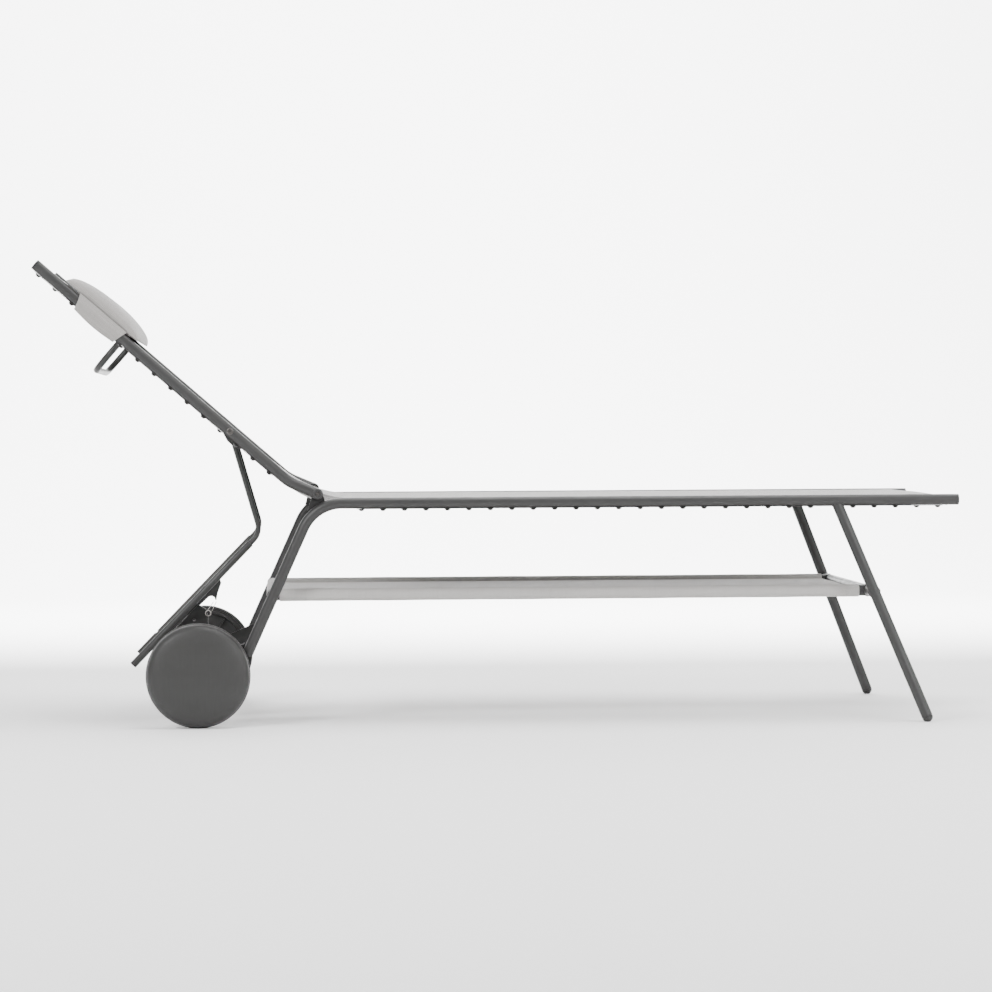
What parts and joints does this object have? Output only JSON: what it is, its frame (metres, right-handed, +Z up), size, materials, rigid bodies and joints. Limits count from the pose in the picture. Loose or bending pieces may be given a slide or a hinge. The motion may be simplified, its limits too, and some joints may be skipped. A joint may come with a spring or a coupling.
{
  "type": "reclining sun lounger",
  "caption": "Reclining sun lounger: bent tube frame, textile sling seat and back, head pillow, fabric shelf below, sliding prop with latch, push handle and wheels.",
  "frame": {"origin": "on the floor, in the middle of the lounger's footprint", "axes": "+Z up, +X from the head end with the wheels towards the foot end, +Y across to the right side"},
  "size_m": [1.8598, 0.801, 0.9316],
  "materials": {
    "frame_paint": "satin powder coat, charcoal grey",
    "fitting_paint": "matt powder coat, darker",
    "wheel_plastic": "fine satin moulding",
    "tyre_rubber": "matt",
    "plug_plastic": "satin moulding",
    "stud_plastic": "satin moulding",
    "bolt_steel": "plain",
    "spring_steel": "drawn wire",
    "sling_fabric": "coated woven mesh, light grey",
    "shelf_fabric": "coated woven mesh, light grey",
    "pillow_fabric": "coated woven mesh, light grey"
  },
  "bodies": {
    "root": {"side_frame_left": "frame_paint", "front_leg_left": "frame_paint", "shelf_tube_left": "frame_paint", "foot_end_plug_left": "plug_plastic", "foot_glide_left": "plug_plastic", "hinge_lug_left": "fitting_paint", "axle_bracket_left": "fitting_paint", "hinge_bolt_left": "bolt_steel", "seat_studs_left": "stud_plastic", "side_frame_right": "frame_paint", "front_leg_right": "frame_paint", "shelf_tube_right": "frame_paint", "foot_end_plug_right": "plug_plastic", "foot_glide_right": "plug_plastic", "hinge_lug_right": "fitting_paint", "axle_bracket_right": "fitting_paint", "hinge_bolt_right": "bolt_steel", "seat_studs_right": "stud_plastic", "front_crossbar": "frame_paint", "rear_crossbar": "frame_paint", "foot_crossbar": "frame_paint", "axle_tube": "fitting_paint", "latch_bracket": "fitting_paint", "guide_bracket": "fitting_paint", "latch_pin": "fitting_paint", "axle_rod": "bolt_steel", "latch_spring": "spring_steel", "seat_sling": "sling_fabric", "shelf_fabric": "shelf_fabric"},
    "back": {"back_rail_left": "frame_paint", "back_knuckle_left": "frame_paint", "prop_lug_left": "frame_paint", "back_end_plug_left": "plug_plastic", "prop_lug_screw_left": "bolt_steel", "prop_bolt_left": "bolt_steel", "back_studs_left": "stud_plastic", "back_rail_right": "frame_paint", "back_knuckle_right": "frame_paint", "prop_lug_right": "frame_paint", "back_end_plug_right": "plug_plastic", "prop_lug_screw_right": "bolt_steel", "prop_bolt_right": "bolt_steel", "back_studs_right": "stud_plastic", "back_top_crossbar": "frame_paint", "handle_bar": "frame_paint", "back_sling": "sling_fabric", "pillow": "pillow_fabric"},
    "prop": {"prop_arm_left": "frame_paint", "prop_slide_left": "frame_paint", "prop_arm_right": "frame_paint", "prop_slide_right": "frame_paint", "prop_top_tube": "fitting_paint"},
    "latch": {"latch_hook": "fitting_paint"},
    "wheel_left": {"wheel_core_left": "wheel_plastic", "wheel_cover_left": "wheel_plastic", "wheel_tyre_left": "tyre_rubber"},
    "wheel_right": {"wheel_core_right": "wheel_plastic", "wheel_cover_right": "wheel_plastic", "wheel_tyre_right": "tyre_rubber"}
  },
  "joints": [
    {"name": "back_hinge", "type": "hinge", "parent": "root", "child": "back", "pos_m": [-0.36407, 0, 0.463], "axis": [0, 1, 0], "range_deg": [-41, 25]},
    {"name": "prop_hinge", "type": "hinge", "parent": "back", "child": "prop", "pos_m": [-0.53318, 0, 0.57026], "axis": [0, 1, 0], "range_deg": [-31.5, 51.5]},
    {"name": "latch_hinge", "type": "hinge", "parent": "root", "child": "latch", "pos_m": [-0.61491, -0.1625, 0.20464], "axis": [0, 1, 0], "range_deg": [0, 12], "stiffness_Nm_per_rad": 0.3, "springref_deg": -11.46},
    {"name": "wheel_left_spin", "type": "hinge", "parent": "root", "child": "wheel_left", "pos_m": [-0.60377, -0.372, 0.104], "axis": [0, 1, 0], "continuous": true},
    {"name": "wheel_right_spin", "type": "hinge", "parent": "root", "child": "wheel_right", "pos_m": [-0.60377, 0.372, 0.104], "axis": [0, 1, 0], "continuous": true}
  ],
  "couplings": [
    {"joint": "prop_hinge", "follows": "back_hinge", "ratio": -1.25}
  ]
}
